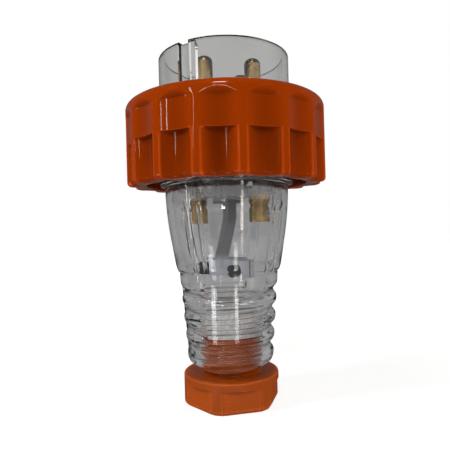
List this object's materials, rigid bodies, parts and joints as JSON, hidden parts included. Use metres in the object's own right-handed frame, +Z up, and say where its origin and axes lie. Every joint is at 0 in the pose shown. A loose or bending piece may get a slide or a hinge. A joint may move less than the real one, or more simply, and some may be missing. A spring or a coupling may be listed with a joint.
{
  "type": "industrial plug",
  "caption": "Weatherproof industrial plug: clear body and keyed skirt round brass pins, scalloped lock ring, inner cord clamp and cable gland nut.",
  "frame": {"origin": "centre of the plug's axis on the flat underside of the gland nut, where the plug stands", "axes": "+Z up the plug's axis from the gland nut to the pins; -Y faces the camera of the picture; +X to the right of the picture"},
  "size_m": [0.0804, 0.0804, 0.1394],
  "materials": {
    "clear_plastic": "clear polished polycarbonate, faintly smoky",
    "orange_gloss": "glossy moulded plastic",
    "orange_satin": "satin moulded plastic",
    "pale_plastic": "plain slip washer",
    "grey_plastic": "satin moulded plastic",
    "brass": "turned brass, slightly dull",
    "steel": "plated steel",
    "black_steel": "blackened steel",
    "rubber": "soft black rubber",
    "pale_rubber": "soft pale grey rubber"
  },
  "bodies": {
    "shell": {"rear_shell": "clear_plastic", "shell_locking_screw": "steel"},
    "housing_lift": {"housing_seal": "pale_rubber"},
    "front": {"front_housing": "clear_plastic", "face_seal": "rubber", "earth_pin": "brass", "line_pin_1": "brass", "line_pin_2": "brass", "line_pin_3": "brass", "earth_terminal_screw": "steel", "terminal_screw_1": "steel", "terminal_screw_2": "steel", "terminal_screw_3": "steel", "terminal_carrier": "clear_plastic", "carrier_screw_left": "steel", "carrier_screw_right": "steel", "clamp_arm": "grey_plastic", "clamp_saddle": "grey_plastic", "clamp_screw_left": "black_steel", "clamp_screw_right": "black_steel", "clamp_arm_screw": "steel"},
    "ring": {"lock_ring": "orange_gloss"},
    "gland_lift": {"gland_washer": "pale_plastic", "cable_seal": "pale_rubber"},
    "nut": {"gland_nut": "orange_satin"}
  },
  "joints": [
    {"name": "housing_rise", "type": "slide", "parent": "shell", "child": "housing_lift", "axis": [0, 0, 1], "range_m": [0, 0.0075]},
    {"name": "housing_turn", "type": "hinge", "parent": "housing_lift", "child": "front", "pos_m": [0, 0, 0.0858], "axis": [0, 0, 1], "range_deg": [0, 900]},
    {"name": "ring_turn", "type": "hinge", "parent": "front", "child": "ring", "pos_m": [0, 0, 0.093], "axis": [0, 0, 1], "continuous": true},
    {"name": "gland_rise", "type": "slide", "parent": "shell", "child": "gland_lift", "axis": [0, 0, 1], "range_m": [-0.011, 0.0031]},
    {"name": "nut_turn", "type": "hinge", "parent": "gland_lift", "child": "nut", "pos_m": [0, 0, 0.01], "axis": [0, 0, 1], "range_deg": [-1980, 558]}
  ],
  "couplings": [
    {"joint": "housing_rise", "follows": "housing_turn", "m_per_rad": 0.00047746},
    {"joint": "gland_rise", "follows": "nut_turn", "m_per_rad": 0.00031831}
  ]
}
